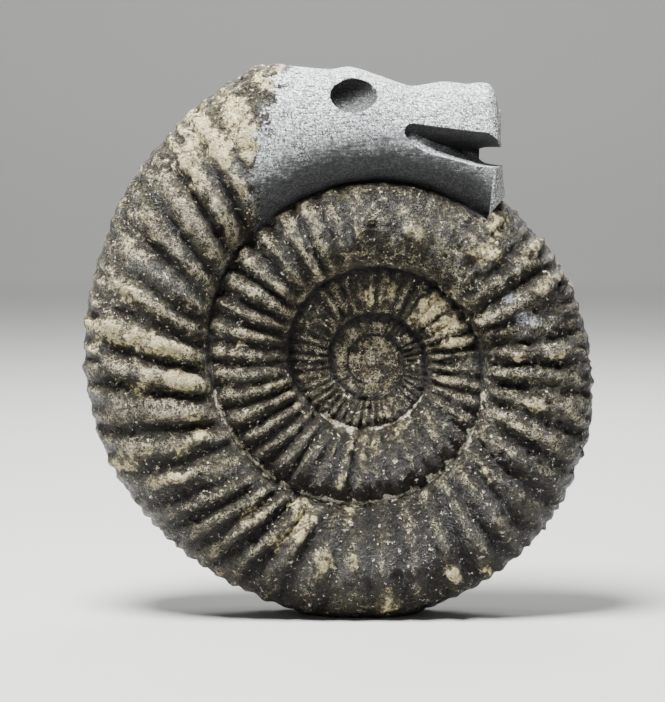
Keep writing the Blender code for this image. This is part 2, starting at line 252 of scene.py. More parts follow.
def rib_shape(t, turn, side):
    """Ribs at places of a slice, from the bottom of a groove to 1 on a crest, and their strength."""
    flank = (turn - INNER_TURN) / (math.pi / 2 - INNER_TURN)
    bend = np.minimum(flank, 1.0) * (rim_angle(t) - t) if t > SNOUT + TURN else 0.0
    wander = noise_on(t, flank, side, *WANDER)
    phase = np.interp(t + bend, RIB_ANGLES, RIB_COUNTS) + WANDER_RIBS * wander
    single = np.cos(math.tau * (phase - 0.5))
    split = -np.cos(2 * math.tau * (phase - 0.5))
    shoulder = ease(*SHOULDER, flank)
    split_rib = SPLIT_RIB * (1 - (1 - BACK_RIB) * ease(*BACK, flank))
    wave = single * (1 - shoulder) + split_rib * split * shoulder
    strength = ease(0.0, RIB_ROOT, flank)
    strength *= ease(*FIRST_RIB, t)
    for *span, lost in WORN:
        strength *= 1 - lost * over_span(*span, t)
    bites = noise_on(t, flank, side, *BITES)
    for *span, lost in GNAWED:
        strength *= 1 - lost * over_span(*span, t) * ease(*BITTEN, bites)
    strength *= 1 + RIB_UNEVEN * np.sin(RIB_BEAT * np.round(phase - 0.5) + RIB_BEAT_START)
    strength *= 1 + WANDER_HEIGHT * wander
    return wave, strength


def slice_side(t, turn, side):
    """Places (u, v, w) and crest heights along one side of the slice at t."""
    middle, half_height, half = section(t)
    radius = middle + half_height * np.sin(turn)
    level = plain_level(t, turn)
    reach = SEAM_REACH * (HEAD_REACH + (1 - HEAD_REACH) * ease(*HEAD_TO_COIL, t))
    near_inner = np.maximum(1 - (turn - INNER_TURN) / reach, 0.0) ** 2
    level += near_inner * (seam_level(t + TURN) - plain_level(t, INNER_TURN))
    if t >= SNOUT + TURN:
        reach = SEAM_REACH * (HEAD_REACH + (1 - HEAD_REACH) * ease(*HEAD_TO_COIL, t - TURN))
        near_outer = np.maximum(1 - np.abs(seam_turn(t) - turn) / reach, 0.0) ** 2
        level += near_outer * (seam_level(t) - plain_level(t, seam_turn(t)))
    wave, strength = rib_shape(t, turn, side)
    cut = np.where(wave < 0, -GROOVE_DEPTH * np.abs(wave) ** GROOVE_POWER, wave)
    relief = RIB_HEIGHT * half * cut * strength
    across_u, across_w = np.sin(turn) / half_height, np.cos(turn) / half
    size = np.hypot(across_u, across_w)
    radius += relief * across_u / size
    level += relief * across_w / size
    inner, outer = inner_radius(t), rim_radius(t)
    share = (radius - inner) / (outer - inner)
    foot, head = math.radians(foot_angle(t)), math.radians(rim_angle(t))
    u = inner * math.cos(foot) * (1 - share) + outer * math.cos(head) * share
    v = inner * math.sin(foot) * (1 - share) + outer * math.sin(head) * share
    return np.stack([u, v, level * side], axis=1), wave * np.minimum(strength, 1.0)


places = []                         # u, v, w of every point of the stone
traits = []                         # angle, crest height and distance from its inner and outer seam
faces = []


def add_points(points, t, crest, inner_gap, outer_gap):
    """Take up points of the slice at t; gives their numbers."""
    first = len(places)
    places.extend(points.tolist())
    columns = np.broadcast_arrays(t, crest, inner_gap, outer_gap, np.zeros(len(points)))
    traits.extend(np.stack(columns[:4], axis=1).tolist())
    return list(range(first, len(places)))


LEVEL_WITH = 0.001                  # share of a row under which two of its points are side by side


def join_rows(first, second):
    """Faces between two rows of points that may differ in number."""
    a = b = 0
    while a < len(first) - 1 or b < len(second) - 1:
        ahead_a = (a + 1) / (len(first) - 1) if a < len(first) - 1 else 2.0
        ahead_b = (b + 1) / (len(second) - 1) if b < len(second) - 1 else 2.0
        corner = [first[a], second[b]]
        if abs(ahead_a - ahead_b) < LEVEL_WITH:
            a, b = a + 1, b + 1
            corner += [second[b], first[a]]
        elif ahead_a < ahead_b:
            a += 1
            corner += [first[a]]
        else:
            b += 1
            corner += [second[b]]
        corner = list(dict.fromkeys(corner))
        if len(corner) > 2:
            faces.append(corner)


FAR = 99.0                          # distance given to points that have no seam on that side
last_slice = int((CORE - SNOUT) / TURN * SLICES)
sides = {1: [], -1: []}
backs = []
for k in range(last_slice + 1):
    t = SNOUT + TURN / SLICES * k
    rows = SIDE_ROWS[max(k - 1, 0) // SLICES]
    turns = np.linspace(INNER_TURN, seam_turn(t), rows + 1)
    free = k < SLICES
    for side, lines in sides.items():
        points, crest = slice_side(t, turns, side)
        inner_gap = np.linalg.norm(points - points[0], axis=1)
        outer_gap = np.linalg.norm(points - points[-1], axis=1)
        if free:
            line = add_points(points, t, crest, inner_gap, FAR)
        else:
            line = add_points(points[:-1], t, crest[:-1], inner_gap[:-1], outer_gap[:-1])
            line.append(lines[k - SLICES][0])
        lines.append(line)
    if k <= SLICES:
        over = [sides[1][k][-1]]
        half_turns = np.linspace(seam_turn(t), math.pi / 2, BACK_ROWS // 2 + 1)
        for side, own in ((1, half_turns[1:]), (-1, half_turns[-2:0:-1])):
            points, crest = slice_side(t, own, side)
            over += add_points(points, t, crest, FAR, FAR)
        over.append(sides[-1][k][-1])
        backs.append(over)
for lines in (*sides.values(), backs):
    for line, beyond in zip(lines, lines[1:]):
        join_rows(line, beyond)

# The middle of each face is a plug of worn stone, drawn in to one point in ever smaller rings: the
# count of each ring's points, and how far it is drawn in.
PLUG = (0.0, 0.2, 0.9)              # u, v and level of that point
PLUG_RINGS = ((152, 0.22), (76, 0.45), (38, 0.68), (16, 0.86))
for side, lines in sides.items():
    ring = [line[0] for line in lines[last_slice - SLICES:]] + lines[-1][1:-1]
    hollow = np.array(PLUG) * (1, 1, side)
    outline = np.array([places[i] for i in ring])
    for count, inward in PLUG_RINGS:
        picked = outline[(np.arange(count) * len(outline) / count).astype(int)]
        smaller = picked + (hollow - picked) * inward
        inner_ring = add_points(smaller, CORE, 0.0, FAR, FAR)
        join_rows(ring + ring[:1], inner_ring + inner_ring[:1])
        ring = inner_ring
    tip = add_points(hollow[None, :], CORE, 0.0, FAR, FAR)[0]
    faces.extend([a, b, tip] for a, b in zip(ring, ring[1:] + ring[:1]))

# The snout's cut face runs from the whorl under it up to the top of the head. It stands out most a
# sixth of the way up, over the lower jaw, and then falls back.
BULGE_LOST = 0.8                    # share of the bulge that is lost by the top of the head
saddle = backs[-1]
head_line = sides[1][0] + backs[0][1:-1] + sides[-1][0][::-1]
half = len(head_line) // 2
spread = np.linspace(0, 1, len(saddle))[1:-1, None]
saddle_places = np.array([places[i] for i in saddle])
straight = saddle_places[0] + (saddle_places[-1] - saddle_places[0]) * spread
rise = saddle_places[1:-1] - straight
rung = saddle
for j in range(1, half):
    left, right = (np.array(places[head_line[i]]) for i in (j, -1 - j))
    points = left + (right - left) * spread + rise * (1 - j / half)
    bulge = SNOUT_BULGE * (1 - BULGE_LOST * j / half) * math.sin(math.pi * min(3 * j / half, 0.5))
    points[:, 0] += bulge * np.sin(math.pi * spread[:, 0])
    over = [head_line[j]] + add_points(points, SNOUT, 0.0, FAR, FAR) + [head_line[-1 - j]]
    join_rows(rung, over)
    rung = over
faces.extend([a, b, head_line[half]] for a, b in zip(rung, rung[1:]))

places = np.array(places)
traits = np.array(traits)
stone_mesh = bpy.data.meshes.new("snakestone_shell")
in_frame = np.stack([places[:, 0] + AXIS_X, -places[:, 2], places[:, 1] + FOOT_DEPTH], axis=1)
stone_mesh.from_pydata((in_frame * MM).tolist(), [], faces)
shell = bmesh.new()
shell.from_mesh(stone_mesh)
bmesh.ops.recalc_face_normals(shell, faces=shell.faces)
shell.to_mesh(stone_mesh)
shell.free()
stone = bpy.data.objects.new("snakestone_shell", stone_mesh)
bpy.context.collection.objects.link(stone)

# The carving: two eye sockets drilled and scraped out, and a mouth filed in from both sides to a V
# that meets only near the tip of the snout. Under the coil a small flat is ground to stand it on.
EYE_PLACE = (-2.45, 36.1)
EYE_RADII = (3.25, 2.7, 2.75)       # along the head, into it and across it
EYE_TILT = math.radians(14.0)
EYE_ROLL = math.radians(30.0)       # how far a socket looks up, square to the round brow
EYE_LEVEL = 7.3
# The mouth's groove from its corner to the tip: place along the head, height of its upper edge, of
# the top and bottom of its deepest line and of its lower lip, and the level of that deepest line.
MOUTH = (
    (4.15, 31.6, 31.3, 31.2, 30.8, 7.9), (4.8, 32.1, 31.2, 31.05, 29.9, 7.0),
    (6.2, 32.1, 30.8, 30.6, 28.8, 5.9), (8.1, 31.8, 29.9, 29.6, 28.0, 4.4),
    (10.2, 31.55, 29.3, 28.9, 27.45, 3.0), (12.4, 31.3, 28.9, 28.3, 26.85, 1.5),
    (14.2, 31.1, 28.8, 27.6, 26.45, 0.2), (15.3, 30.95, 28.8, 26.95, 26.4, -0.6),
    (16.4, 30.2, 28.85, 26.75, 26.35, -0.6), (17.2, 29.5, 28.9, 26.7, 26.3, -0.6),
    (19.5, 29.2, 28.9, 26.7, 26.2, -0.6),
)
EYE_SEGMENTS, EYE_RINGS = 48, 24
MOUTH_STEPS = 40
WALL_STEPS = 10                     # rows across each wall of the groove
HEAD_SKIN = 7.4                     # level of the head's side along the mouth
OUT_OF_HEAD = 11.5                  # level that every cut starts from, clear of the stone
GROUND_OFF = (60, 40, 10)           # block that takes the foot away, its top on the foot's plane


def stand(u, v, w):
    """A place of the face put in the frame, in metres."""
    return ((u + AXIS_X) * MM, -w * MM, (v + FOOT_DEPTH) * MM)


bpy.ops.object.select_all(action="DESELECT")
cutters = []
for side in (1, -1):
    bpy.ops.mesh.primitive_uv_sphere_add(
        segments=EYE_SEGMENTS, ring_count=EYE_RINGS, radius=1.0,
        location=stand(*EYE_PLACE, EYE_LEVEL * side),
        rotation=(-EYE_ROLL * side, -EYE_TILT, 0),
        scale=[r * MM for r in EYE_RADII],
    )
    cutters.append(bpy.context.object)
bpy.ops.mesh.primitive_cube_add(
    size=1.0, location=(0, 0, -GROUND_OFF[2] / 2 * MM), scale=[length * MM for length in GROUND_OFF],
)
cutters.append(bpy.context.object)
for side in (1, -1):
    corners = []
    for k in range(MOUTH_STEPS + 1):
        at = k / MOUTH_STEPS * (len(MOUTH) - 1)
        along, top, deep_top, deep_bottom, lip, deep = (
            curve_through([(i, station[value]) for i, station in enumerate(MOUTH)], at)
            for value in range(6)
        )
        share = np.linspace(0, 1, WALL_STEPS + 1)
        heights = [top, *(top + (deep_top - top) * share), *(deep_bottom + (lip - deep_bottom) * share), lip]
        slant = HEAD_SKIN + (deep - HEAD_SKIN) * share
        levels = [OUT_OF_HEAD, *slant, *slant[::-1], OUT_OF_HEAD]
        corners += [stand(along, height, level * side) for height, level in zip(heights, levels)]
    around = len(levels)
    walls = [tuple(range(around)), tuple(range(len(corners) - around, len(corners)))]
    for base in range(0, len(corners) - around, around):
        for k in range(around):
            n = (k + 1) % around
            walls.append((base + k, base + n, base + around + n))
            walls.append((base + k, base + around + n, base + around + k))
    groove = bpy.data.meshes.new("mouth_cut")
    groove.from_pydata(corners, [], walls)
    cutters.append(bpy.data.objects.new("mouth_cut", groove))
    bpy.context.collection.objects.link(cutters[-1])
for cutter in cutters:
    bpy.ops.object.select_all(action="DESELECT")
    cutter.select_set(True)
    bpy.context.view_layer.objects.active = cutter
    bpy.ops.object.mode_set(mode="EDIT")
    bpy.ops.mesh.select_all(action="SELECT")
    bpy.ops.mesh.normals_make_consistent(inside=False)
    bpy.ops.object.mode_set(mode="OBJECT")
    bpy.ops.object.select_all(action="DESELECT")
    stone.select_set(True)
    bpy.context.view_layer.objects.active = stone
    carve = stone.modifiers.new("carve", "BOOLEAN")
    carve.operation = "DIFFERENCE"
    carve.solver = "EXACT"
    carve.object = cutter
    bpy.ops.object.modifier_apply(modifier=carve.name)
    bpy.data.objects.remove(cutter, do_unlink=True)

# Each point of the carved stone takes its place along the coil from the nearest point before.
nearest = kdtree.KDTree(len(in_frame))
for i, point in enumerate((in_frame * MM).tolist()):
    nearest.insert(point, i)
nearest.balance()
found = [nearest.find(vert.co) for vert in stone.data.vertices]
match = np.array([index for _, index, _ in found])
angle, crest, inner_gap, outer_gap = traits[match].T
gap = np.minimum(inner_gap, outer_gap)
cut_depth = np.array([distance for *_, distance in found]) / MM
IN_CUT = 0.15                       # depth from which a place lies in a socket or in the mouth
gap[(cut_depth > IN_CUT) & (angle < NECK)] = FAR

# What lies on the shell: crust of pale mud left in patches, smooth slate-blue spots where the shell
# came away, a bare grey head, and a chalky line in the lower half of the seams. Each place on the
# face is u, v, reach in millimetres and how much there is of it.
CRUST = (
    (-18.0, 33.0, 3.0, 1.3), (-16.0, 28.7, 2.8, 1.3), (-20.0, 28.7, 3.4, 1.0), (-23.0, 31.4, 3.0, 1.0),
    (-15.0, 24.2, 2.0, 0.9), (-12.5, 37.0, 2.4, 1.2), (-26.0, 26.5, 3.0, 0.5), (-22.5, 23.5, 2.6, 0.7),
    (-36.5, 5.2, 1.6, 1.0), (-34.5, 3.8, 2.0, 1.0), (-31.0, 3.2, 2.0, 1.0), (-27.4, 2.3, 1.8, 1.0),
    (-30.0, 10.5, 2.4, 0.6), (-33.0, 9.0, 1.8, 0.7), (-26.0, -2.0, 1.7, 1.1), (-31.0, -3.4, 2.2, 0.7),
    (-24.0, -6.8, 1.0, 1.0), (-22.9, -9.3, 1.3, 1.1), (-25.5, -10.8, 1.6, 0.9), (-32.8, -13.0, 1.8, 1.0),
    (-28.0, -15.0, 2.2, 0.7), (-9.6, -20.3, 2.1, 1.1), (-12.2, -23.3, 1.9, 0.8), (-16.0, -19.5, 2.0, 0.6),
    (-5.8, -26.3, 1.1, 1.0), (-2.4, -25.9, 0.9, 1.0), (2.3, -31.6, 1.5, 0.9), (-3.3, -20.3, 0.9, 0.9),
    (15.2, -14.4, 0.8, 1.1), (-0.5, 8.8, 1.1, 1.1), (2.2, 9.7, 1.1, 1.1), (7.6, 7.4, 2.2, 1.2),
    (10.2, 5.2, 2.0, 1.2), (11.0, 3.0, 1.3, 1.0), (14.8, 15.6, 2.2, 1.0), (16.2, 19.3, 1.8, 0.9),
    (21.4, 15.4, 1.6, 0.8), (23.8, 11.1, 1.4, 0.8), (24.7, 1.4, 0.8, 1.3), (19.5, 1.4, 1.8, 0.7),
    (21.4, -5.4, 1.2, 0.8), (5.5, 17.5, 2.2, 0.6), (-2.2, 18.2, 0.8, 1.1), (1.6, 21.4, 0.7, 1.1),
    (-17.5, 2.6, 0.6, 1.3), (3.0, -7.5, 2.2, 0.7), (-1.5, -11.8, 2.2, 0.6), (10.8, -28.0, 0.9, 1.3),
    (15.3, -27.9, 0.7, 1.3), (8.0, -8.0, 1.4, 0.6), (-29.0, 17.0, 2.4, 0.6), (-14.8, 37.6, 1.8, 1.0),
    (-12.2, 39.3, 1.5, 1.1), (-0.7, -1.3, 0.9, 1.0),
)
SLATE = (
    (-18.0, 26.0, 1.6, 1.0), (-21.5, 24.8, 1.3, 0.8), (-13.0, 30.5, 1.6, 0.9), (-13.8, 27.0, 1.5, 0.8),
    (-31.0, 13.2, 2.0, 0.9), (-27.0, 11.6, 2.4, 0.9), (-23.0, 10.0, 2.2, 0.9), (-20.8, 7.4, 1.6, 0.9),
    (-14.6, 34.4, 1.5, 1.0), (-16.5, 21.5, 1.8, 0.8), (18.1, 9.0, 1.0, 1.5), (20.0, 6.5, 1.2, 1.7),
    (21.3, 6.2, 1.1, 1.6),
    (-19.8, 12.5, 2.2, 0.9), (-28.8, 12.4, 2.0, 1.0), (-25.0, 10.8, 2.0, 1.0), (-26.0, 14.5, 2.6, 0.6),
    (-22.0, 1.0, 1.8, 0.7), (-20.5, -10.5, 2.2, 0.7),
    (-7.5, -18.8, 1.3, 0.6), (0.3, 0.8, 1.3, 1.0), (-18.0, -14.0, 1.8, 0.6), (13.5, -17.0, 2.2, 0.5),
)
PITS = ((-20.2, 18.0, 0.85, 1.5), (-2.0, 16.2, 0.5, 0.3), (-33.0, 4.6, 0.5, 0.3))
KNOBS = (
    (10.8, -28.0, 0.8, 0.75), (15.3, -27.9, 0.6, 0.6), (24.7, 1.6, 0.7, 0.35), (10.4, 3.2, 0.8, 0.4),
    (-20.2, 18.0, 1.5, 0.5),
)


def spread_of(marks, u, v, along=1.0, across=1.0):
    """How much of a kind of mark lies at each place of a face, drawn out along the ribs."""
    amount = np.zeros(len(u))
    for mark_u, mark_v, reach, most in marks:
        size = math.hypot(mark_u, mark_v)
        off_u, off_v = u - mark_u, v - mark_v
        outward = (off_u * mark_u + off_v * mark_v) / size / (reach * along)
        sideways = (off_v * mark_u - off_u * mark_v) / size / (reach * across)
        amount = np.maximum(amount, most * np.exp(-(outward**2) - sideways**2))
    return amount


SEED_STEP = (13.7, 7.1, 3.3)        # how far apart two noises of different seeds are taken


def noise_at(points, size, seed):
    """Smooth noise from -1 to 1 with lumps of about this size in millimetres."""
    shift = Vector([seed * step for step in SEED_STEP])
    return np.array([noise.noise(Vector(p) / size + shift) for p in points.tolist()])


carved = np.zeros(len(match) * 3)
stone.data.vertices.foreach_get("co", carved)
carved = carved.reshape(-1, 3) / MM
u, v, w = carved[:, 0] - AXIS_X, carved[:, 2] - FOOT_DEPTH, -carved[:, 1]
polar = np.degrees(np.arctan2(v, u)) % TURN
radius = np.hypot(u, v)
front = w > 0
SWING = math.radians(155)           # on the far face the same kinds of patches lie elsewhere
far_u = u * math.cos(SWING) - v * math.sin(SWING)
far_v = u * math.sin(SWING) + v * math.cos(SWING)
mark_u, mark_v = np.where(front, u, far_u), np.where(front, v, far_v)
SMALL, RAGGED, LUMPY, BROAD = 0.9, 1.5, 2.6, 8.0     # sizes of lumps in millimetres
small_lumps = noise_at(carved, SMALL, 1)
lumps = noise_at(carved, LUMPY, 2)
broad = noise_at(carved, BROAD, 3)
ragged = noise_at(carved, RAGGED, 4)

# The bare head ends in a ragged edge across the neck.
HEAD_EDGE = 106.5                   # its angle at the rim of the neck
NECK_RIM = 40.7                     # radius of that rim
HEAD_EDGE_LEAN = 1.36               # degrees that the edge moves back for each millimetre inwards
EDGE_RAGGED, EDGE_LUMPY = 3.0, 1.5  # degrees by which noise moves it
EDGE_WIDTH = 13.0                   # degrees over which the filing fades out
ALL_HEAD, ALL_COIL = 60.0, 150.0    # angles before and after which there is nothing to fade
COATS_END = (0.4, 0.6)              # bareness over which the coil's coats come to an end
edge = HEAD_EDGE + HEAD_EDGE_LEAN * (NECK_RIM - radius) + EDGE_RAGGED * ragged + EDGE_LUMPY * lumps
bareness = (edge - polar) / EDGE_WIDTH + 0.5
head = np.where(angle < ALL_HEAD, 1.0, np.clip(bareness, 0.0, 1.0) * (angle < ALL_COIL))
coil = 1 - ease(*COATS_END, head)

# Crust lies in its patches, drawn out along the ribs, and on the crests, most on the left. Slate
# shows where the shell came away. Chalk fills the seams where they look up, from bottom left to right.
RUGGED_CRUST, RUGGED_SLATE = 0.9, 0.5          # how far noise moves the edge of a patch
ALONG_RIB, ACROSS_RIB = 1.5, 0.85
LEFT, LEFT_OF_FAR_FACE = (100, 130, 262, 300), 0.5     # the left of the face, and what the far one has
ON_CREST = (-0.3, 0.8)              # height on a rib over which crust comes to stick
PATCHY, PATCH_LUMPY = (-0.25, 0.45), 0.6       # noise over which it is kept, and how that is mixed
CREST_CRUST, MORE_ON_LEFT = 0.35, 0.3
SLATE_SHEDS, MOST_CRUST = 0.6, 1.2
crust = spread_of(
    CRUST, mark_u + RUGGED_CRUST * ragged, mark_v + RUGGED_CRUST * lumps, ALONG_RIB, ACROSS_RIB,
)
left = np.where(front, over_span(*LEFT, polar), LEFT_OF_FAR_FACE)
on_crests = ease(*ON_CREST, crest) * ease(*PATCHY, broad + PATCH_LUMPY * lumps)
on_crests *= CREST_CRUST + MORE_ON_LEFT * left
slate = spread_of(SLATE, mark_u + RUGGED_SLATE * ragged, mark_v + RUGGED_SLATE * lumps) * coil
crust = np.clip(crust + on_crests - SLATE_SHEDS * slate, 0.0, MOST_CRUST) * coil
FIRST_SEAM_CHALK, INNER_SEAM_CHALK = (165, 200, 335, 358), (195, 225, 318, 335)
CHALK_ENDS = (900, 1000)            # angle along the coil where the chalk gives out
CHALK_REACH = (0.6, 0.15)           # distance from a seam where chalk ends, and where it is full
CHALK_BROKEN = 0.6                  # how far noise moves both
lower = np.where(
    angle < SNOUT + TURN, over_span(*FIRST_SEAM_CHALK, polar), over_span(*INNER_SEAM_CHALK, polar),
)
broken = CHALK_BROKEN * (small_lumps + ragged + lumps)
chalk = ease(*CHALK_REACH, gap + broken) * lower * (1 - ease(*CHALK_ENDS, angle)) * coil

# Painted shadow darkens an older whorl along the edge of the next one, which overhangs it; it is broadest
# low on the second whorl. The crests are rubbed bright, less on the inner whorls; the face is darker towards
# the bottom, more so low on the right, and the oldest ribs are worn to a mottle.
SEAM_SHADOW_REACH, SEAM_SHADOW_REACH_LOW = 1.4, 3.4
SEAM_SHADOW_ENDS = (1.0, 0.35)             # share of its reach where the painted seam shadow ends, and where it is full
SEAM_SHADOW_RAGGED, SEAM_SHADOW_LUMPY = 0.25, 0.2
DEEPEST_WHORL = 3.6
MOTTLED = (1100, 1250)              # angle along the coil over which ribs give way to the mottle
CREST_LOST = 0.5
MOTTLE, MOTTLE_RAGGED, MOTTLE_LUMPY = 0.6, 1.0, 0.5
RUB, RUB_ON_CREST, RUB_BROAD, RUB_ON_MOTTLE = 0.5, 0.5, 0.2, 0.22
LOW, RIGHT, RIGHT_LOW = (-8, -24), (4, 20), (-2, -14)  # v and u over which the face is low or right
INNER_FADE = 0.12                   # share of rub and relief that is lost with each whorl inwards
LOW_LESS, RIGHT_LESS, SECOND_LESS = 0.2, 0.25, 0.14
whorl = np.clip((angle - SNOUT) / TURN, 0, DEEPEST_WHORL)
seam_shadow_reach = SEAM_SHADOW_REACH + SEAM_SHADOW_REACH_LOW * lower * (angle < SNOUT + 2 * TURN)
seam_shadow = ease(*SEAM_SHADOW_ENDS, outer_gap / seam_shadow_reach + SEAM_SHADOW_RAGGED * ragged + SEAM_SHADOW_LUMPY * lumps)
eroded = ease(*MOTTLED, angle)
mottle = MOTTLE + MOTTLE_RAGGED * ragged + MOTTLE_LUMPY * lumps
crest = crest * (1 - CREST_LOST * eroded) + eroded * mottle
rubbed = RUB + RUB_ON_CREST * crest * (1 - INNER_FADE * whorl) + RUB_BROAD * broad + RUB_ON_MOTTLE * eroded
second = (angle > SNOUT + TURN) & (angle < SNOUT + 2 * TURN)
# darker towards the bottom, more so low on the right and low on the second whorl
rubbed -= LOW_LESS * ease(*LOW, v) + RIGHT_LESS * ease(*RIGHT, u) * ease(*RIGHT_LOW, v)
rubbed -= SECOND_LESS * lower * second

# Painted shade darkens the cuts: all over a roof, which looks down or forwards, away from the light,
# partly on the low side of a socket, not at all on the mouth's low wall, and in whatever lies deep.
MOUTH_TOP = 32.6                    # v under which a cut is the mouth's, and over it a socket's
# painted shade: its least share on a socket's walls, and its share deep in any cut
SOCKET_SHADE, DEEP_SHADE = 0.65, 0.7
UPWARDS, FORWARDS = 0.89, -0.45     # direction that a lit wall faces, towards the light: up and a little back
ROOF = (0.45, -0.35)                # how far a wall faces that way, from lit to a roof in painted shade
CUT_FROM, DEEP_FROM = (0.05, 0.4), (3.4, 5.6)  # depths over which a place comes to be cut, and deep
ABOVE_FOOT = 20.0                   # height over which a cut is the head's and not the foot's
normals = np.zeros(len(match) * 3)
stone.data.vertices.foreach_get("normal", normals)
normals = normals.reshape(-1, 3)
turned_down = ease(*ROOF, UPWARDS * normals[:, 2] + FORWARDS * normals[:, 0])
least = np.where(v > MOUTH_TOP, SOCKET_SHADE, 0.0)
cut = ease(*CUT_FROM, cut_depth) * (least + (1 - least) * turned_down)
cut = np.maximum(cut, DEEP_SHADE * ease(*DEEP_FROM, cut_depth)) * (carved[:, 2] > ABOVE_FOOT)

# Relief finer than the ribs, in millimetres: lumps of crust, worn dents, pits, and on the head only
# the file's waves. It is weaker on slate and on the inner whorls, and stronger on the right.
ROUGH = 0.18
FLAKE, FLAKE_FROM = 0.18, (0.42, 0.62)
FLAKE_RAGGED, FLAKE_SMALL = 0.35, 0.25         # how noise moves the edge of a flake of crust
DENT, DENT_FROM = 0.35, (0.2, 0.6)
AWAY_FROM_SEAM = (0.0, 0.5)         # distance from a seam over which the roughness grows
SLATE_SMOOTH = 0.75                 # share of it that is lost on slate
CHALK_RELIEF, CHALK_MEAN = 0.15, 0.2
FILE_WAVE = 0.06
MOTTLE_RELIEF = (0.3, 0.25, 0.12)   # of ragged, larger and small lumps on the oldest whorls
ROUGH_SIDE = (300, 330, 470, 520)   # angles along the coil where it is stronger, and by how much
ROUGHER = 0.8
ON_FOOT = 0.01                      # height under which a place is on the ground flat and stays there
SMOOTH_TO = math.radians(48)        # sharpest edge that is shaded smooth
flaky = ease(*FLAKE_FROM, crust + FLAKE_RAGGED * ragged + FLAKE_SMALL * small_lumps)
relief = ROUGH * (lumps + ragged + small_lumps)
relief += FLAKE * flaky - DENT * ease(*DENT_FROM, ragged) * (1 - flaky)
relief *= coil * ease(*AWAY_FROM_SEAM, gap) * (1 - SLATE_SMOOTH * np.minimum(slate, 1.0))
relief *= 1 - INNER_FADE * whorl
relief *= 1 + ROUGHER * over_span(*ROUGH_SIDE, angle)
relief += CHALK_RELIEF * chalk * (CHALK_MEAN + ragged + small_lumps)
relief += FILE_WAVE * head * (lumps + broad)
relief += np.where(front, spread_of(KNOBS, u, v) - spread_of(PITS, u, v), 0.0)
mottle_relief = np.dot(MOTTLE_RELIEF, (ragged, lumps, small_lumps))
relief = relief * (1 - eroded) + eroded * mottle_relief
relief[carved[:, 2] < ON_FOOT] = 0.0
moved = carved + normals * relief[:, None]
low, high = (np.array(corner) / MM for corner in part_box("snakestone"))
moved = np.clip(moved, low, high)
stone.data.vertices.foreach_set("co", (moved * MM).ravel())
stone.data.update()
bpy.ops.object.shade_smooth_by_angle(angle=SMOOTH_TO)
MOST_GAP = 12.0                     # a distance that is as good as none
for name, values in (
    ("head", head), ("rubbed", rubbed), ("crust", crust), ("slate", slate),
    ("chalk", chalk), ("whorl", whorl), ("gap", np.minimum(gap, MOST_GAP)), ("seam_shadow", seam_shadow), ("cut", cut),
):
    layer = stone.data.attributes.new(name, "FLOAT", "POINT")
    layer.data.foreach_set("value", values.astype(np.float32))


def colour(hex_value):
    """Linear colour of an sRGB hex value."""
    parts = [int(hex_value[i:i + 2], 16) / 255 for i in (1, 3, 5)]
    return [c / 12.92 if c <= 0.04045 else ((c + 0.055) / 1.055) ** 2.4 for c in parts] + [1.0]


def add_node(tree, kind, inputs, output=0, **settings):
    """Add a node; each input is a value or the socket that feeds it. Gives one of its outputs."""
    node = tree.nodes.new(kind)
    for name, value in settings.items():
        setattr(node, name, value)
    for socket, value in inputs.items():
        if isinstance(value, bpy.types.NodeSocket):
            tree.links.new(value, node.inputs[socket])
        else:
            node.inputs[socket].default_value = value
    return node.outputs[output]


# Fossil limestone: a fine dark brown-grey stone with a waxy shine where the shell's own skin is left,
# dull pale mud crust that stuck to it in patches, near-black brown in its grooves, and a matt, lighter
# grey where the head was filed back to clean stone and rubbed smooth.
limestone = bpy.data.materials.new("fossil_limestone")
limestone.use_nodes = True
tree = limestone.node_tree
shader = tree.nodes["Principled BSDF"]
place = add_node(tree, "ShaderNodeTexCoord", {}, "Object")
in_mm = add_node(tree, "ShaderNodeMapping", {"Vector": place, "Scale": [1 / MM] * 3})

# What decides where a coat lies: the marks on the mesh, and grains from -0.5 to 0.5. A grain has the
# size of its lumps in millimetres, its detail and roughness, and how it is drawn out and turned.
GRAINS = {
    "speck": (0.24, 2, 0.8, (1, 1, 1), 0.0),
    "fine": (0.50, 3, 0.75, (1, 1, 1), 0.0),
    "grit": (0.85, 4, 0.7, (1, 1, 1), 0.0),
    "medium": (1.7, 4, 0.62, (1, 1, 1), 0.0),
    "coarse": (5.0, 3, 0.55, (1, 1, 1), 0.0),
    "scratch": (0.5, 3, 0.65, (0.25, 1, 1.6), 0.3),
}
GRAIN_STEP = (17, 5, 31)            # how far apart two grains are taken
source = {
    name: add_node(tree, "ShaderNodeAttribute", {}, "Fac", attribute_name=name)
    for name in ("head", "rubbed", "crust", "slate", "chalk", "whorl", "gap", "seam_shadow", "cut")
}
for number, (name, (size, detail, rough, drawn, turned)) in enumerate(GRAINS.items()):
    vector = add_node(tree, "ShaderNodeMapping", {
        "Vector": in_mm, "Location": [number * step for step in GRAIN_STEP],
        "Rotation": (0, turned, 0), "Scale": drawn,
    })
    grain = add_node(tree, "ShaderNodeTexNoise", {
        "Vector": vector, "Scale": 1 / size, "Detail": detail, "Roughness": rough,
    })
    source[name] = add_node(tree, "ShaderNodeMath", {0: grain, 1: 0.5}, operation="SUBTRACT")
# A thread runs where the grit is near its middle, and falls off to both sides.
THREAD_FALL = -10.0
thread_line = add_node(tree, "ShaderNodeMath", {0: source["grit"]}, operation="ABSOLUTE")
source["thread"] = add_node(
    tree, "ShaderNodeMath", {0: thread_line, 1: THREAD_FALL}, operation="MULTIPLY",
)

